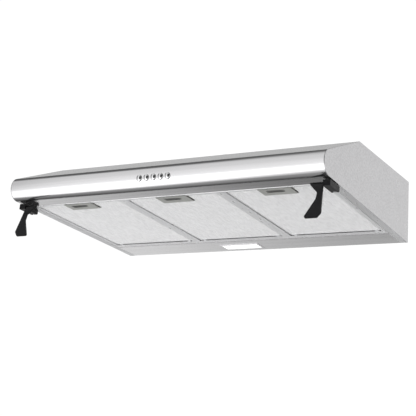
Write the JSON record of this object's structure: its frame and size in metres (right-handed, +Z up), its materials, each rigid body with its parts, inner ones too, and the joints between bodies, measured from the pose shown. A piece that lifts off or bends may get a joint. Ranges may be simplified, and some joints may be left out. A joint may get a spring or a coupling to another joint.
{
  "type": "range hood",
  "caption": "Under cabinet range hood with a rounded front, hinged mesh filters, corner latches, push buttons, lamp, blower and a round duct collar.",
  "frame": {"origin": "centre of the four cabinet screw holes, on the upper face of the top", "axes": "+X right as seen from the front, +Y back to the wall, +Z up out of the top"},
  "size_m": [0.75, 0.5032, 0.2393],
  "materials": {
    "brushed_steel": "brushed satin stainless steel",
    "lamp_frame": "brushed satin steel bezel",
    "tray_aluminium": "bright satin pressed sheet",
    "filter_frame": "bright satin rolled channel",
    "filter_mesh": "layered expanded metal",
    "latch_plate": "grey satin pressed plate",
    "spring_steel": "spring steel",
    "black_plastic": "satin moulded plastic",
    "button_chrome": "polished chrome",
    "zinc_steel": "zinc-plated steel",
    "motor_metal": "dark painted casing",
    "blower_plastic": "galvanised sheet",
    "impeller_metal": "plain aluminium",
    "collar_plastic": "moulded plastic",
    "damper_metal": "plain sheet",
    "dark_plastic": "moulded plastic",
    "white_plastic": "moulded plastic",
    "cable_sheath": "grey cable sheath",
    "lamp_lens": "opal diffuser, lit white",
    "lamp_bulb": "frosted glass",
    "lamp_housing": "white enamel"
  },
  "bodies": {
    "root": {"canopy_sheet": "brushed_steel", "side_panel_left": "brushed_steel", "side_panel_right": "brushed_steel", "back_panel": "brushed_steel", "rear_panel": "brushed_steel", "side_rail_left": "brushed_steel", "side_rail_right": "brushed_steel", "tray_hinge_pins": "zinc_steel", "latch_pivot_screws": "zinc_steel", "switch_block": "dark_plastic", "lamp_frame": "lamp_frame", "lamp_lens": "lamp_lens", "lamp_housing": "lamp_housing", "lamp_bulb": "lamp_bulb", "lamp_holder": "white_plastic", "blower_housing": "blower_plastic", "motor": "motor_metal", "motor_bracket": "zinc_steel", "duct_collar": "collar_plastic", "damper_rod": "zinc_steel", "terminal_box": "white_plastic", "cable_gland": "dark_plastic", "internal_cables": "cable_sheath", "collar_screws": "zinc_steel", "blower_screws": "zinc_steel"},
    "tray": {"tray_front_bar": "tray_aluminium", "tray_rear_bar": "tray_aluminium", "tray_side_left": "tray_aluminium", "tray_side_right": "tray_aluminium", "tray_divider_left": "tray_aluminium", "tray_divider_right": "tray_aluminium"},
    "filter_left": {"filter_frame_left": "filter_frame", "filter_mesh_left": "filter_mesh", "filter_latch_cup_left": "filter_frame"},
    "filter_latch_left": {"filter_latch_plate_left": "latch_plate", "filter_latch_spring_left": "spring_steel"},
    "filter_middle": {"filter_frame_middle": "filter_frame", "filter_mesh_middle": "filter_mesh", "filter_latch_cup_middle": "filter_frame"},
    "filter_latch_middle": {"filter_latch_plate_middle": "latch_plate", "filter_latch_spring_middle": "spring_steel"},
    "filter_right": {"filter_frame_right": "filter_frame", "filter_mesh_right": "filter_mesh", "filter_latch_cup_right": "filter_frame"},
    "filter_latch_right": {"filter_latch_plate_right": "latch_plate", "filter_latch_spring_right": "spring_steel"},
    "corner_latch_left": {"latch_bar_left": "black_plastic", "latch_lever_left": "black_plastic"},
    "corner_latch_right": {"latch_bar_right": "black_plastic", "latch_lever_right": "black_plastic"},
    "button_light": {"button_light": "button_chrome"},
    "button_stop": {"button_stop": "button_chrome"},
    "button_speed_1": {"button_speed_1": "button_chrome"},
    "button_speed_2": {"button_speed_2": "button_chrome"},
    "button_speed_3": {"button_speed_3": "button_chrome"},
    "impeller": {"impeller": "impeller_metal", "motor_shaft": "zinc_steel"},
    "damper_front": {"damper_flap_front": "damper_metal"},
    "damper_back": {"damper_flap_back": "damper_metal"}
  },
  "joints": [
    {"name": "tray_swing", "type": "hinge", "parent": "root", "child": "tray", "pos_m": [0, 0.07355, -0.13502], "axis": [1, 0, 0], "range_deg": [0, 70]},
    {"name": "filter_swing_left", "type": "hinge", "parent": "tray", "child": "filter_left", "pos_m": [-0.2391, 0.05995, -0.13648], "axis": [1, 0, 0], "range_deg": [0, 60]},
    {"name": "filter_swing_middle", "type": "hinge", "parent": "tray", "child": "filter_middle", "pos_m": [0, 0.05995, -0.13648], "axis": [1, 0, 0], "range_deg": [0, 60]},
    {"name": "filter_swing_right", "type": "hinge", "parent": "tray", "child": "filter_right", "pos_m": [0.2391, 0.05995, -0.13648], "axis": [1, 0, 0], "range_deg": [0, 60]},
    {"name": "filter_latch_slide_left", "type": "slide", "parent": "filter_left", "child": "filter_latch_left", "axis": [0, 0.9985, -0.0551], "range_m": [0, 0.005], "stiffness_N_per_m": 400},
    {"name": "filter_latch_slide_middle", "type": "slide", "parent": "filter_middle", "child": "filter_latch_middle", "axis": [0, 0.9985, -0.0551], "range_m": [0, 0.005], "stiffness_N_per_m": 400},
    {"name": "filter_latch_slide_right", "type": "slide", "parent": "filter_right", "child": "filter_latch_right", "axis": [0, 0.9985, -0.0551], "range_m": [0, 0.005], "stiffness_N_per_m": 400},
    {"name": "corner_latch_turn_left", "type": "hinge", "parent": "root", "child": "corner_latch_left", "pos_m": [-0.36575, -0.26012, -0.11981], "axis": [0, 0.0551, 0.9985], "range_deg": [0, 90]},
    {"name": "corner_latch_turn_right", "type": "hinge", "parent": "root", "child": "corner_latch_right", "pos_m": [0.36575, -0.26012, -0.11981], "axis": [0, -0.0551, -0.9985], "range_deg": [0, 90]},
    {"name": "press_light", "type": "slide", "parent": "root", "child": "button_light", "axis": [0, 1, 0], "range_m": [0, 0.003], "stiffness_N_per_m": 300},
    {"name": "press_stop", "type": "slide", "parent": "root", "child": "button_stop", "axis": [0, 1, 0], "range_m": [0, 0.003], "stiffness_N_per_m": 300},
    {"name": "press_speed_1", "type": "slide", "parent": "root", "child": "button_speed_1", "axis": [0, 1, 0], "range_m": [0, 0.003], "stiffness_N_per_m": 300},
    {"name": "press_speed_2", "type": "slide", "parent": "root", "child": "button_speed_2", "axis": [0, 1, 0], "range_m": [0, 0.003], "stiffness_N_per_m": 300},
    {"name": "press_speed_3", "type": "slide", "parent": "root", "child": "button_speed_3", "axis": [0, 1, 0], "range_m": [0, 0.003], "stiffness_N_per_m": 300},
    {"name": "impeller_spin", "type": "hinge", "parent": "root", "child": "impeller", "pos_m": [-0.17, -0.005, -0.058], "axis": [0, 0, 1], "continuous": true},
    {"name": "damper_front_open", "type": "hinge", "parent": "root", "child": "damper_front", "pos_m": [0, 0.03, 0.008], "axis": [-1, 0, 0], "range_deg": [0, 75]},
    {"name": "damper_back_open", "type": "hinge", "parent": "root", "child": "damper_back", "pos_m": [0, 0.03, 0.008], "axis": [1, 0, 0], "range_deg": [0, 75]}
  ]
}
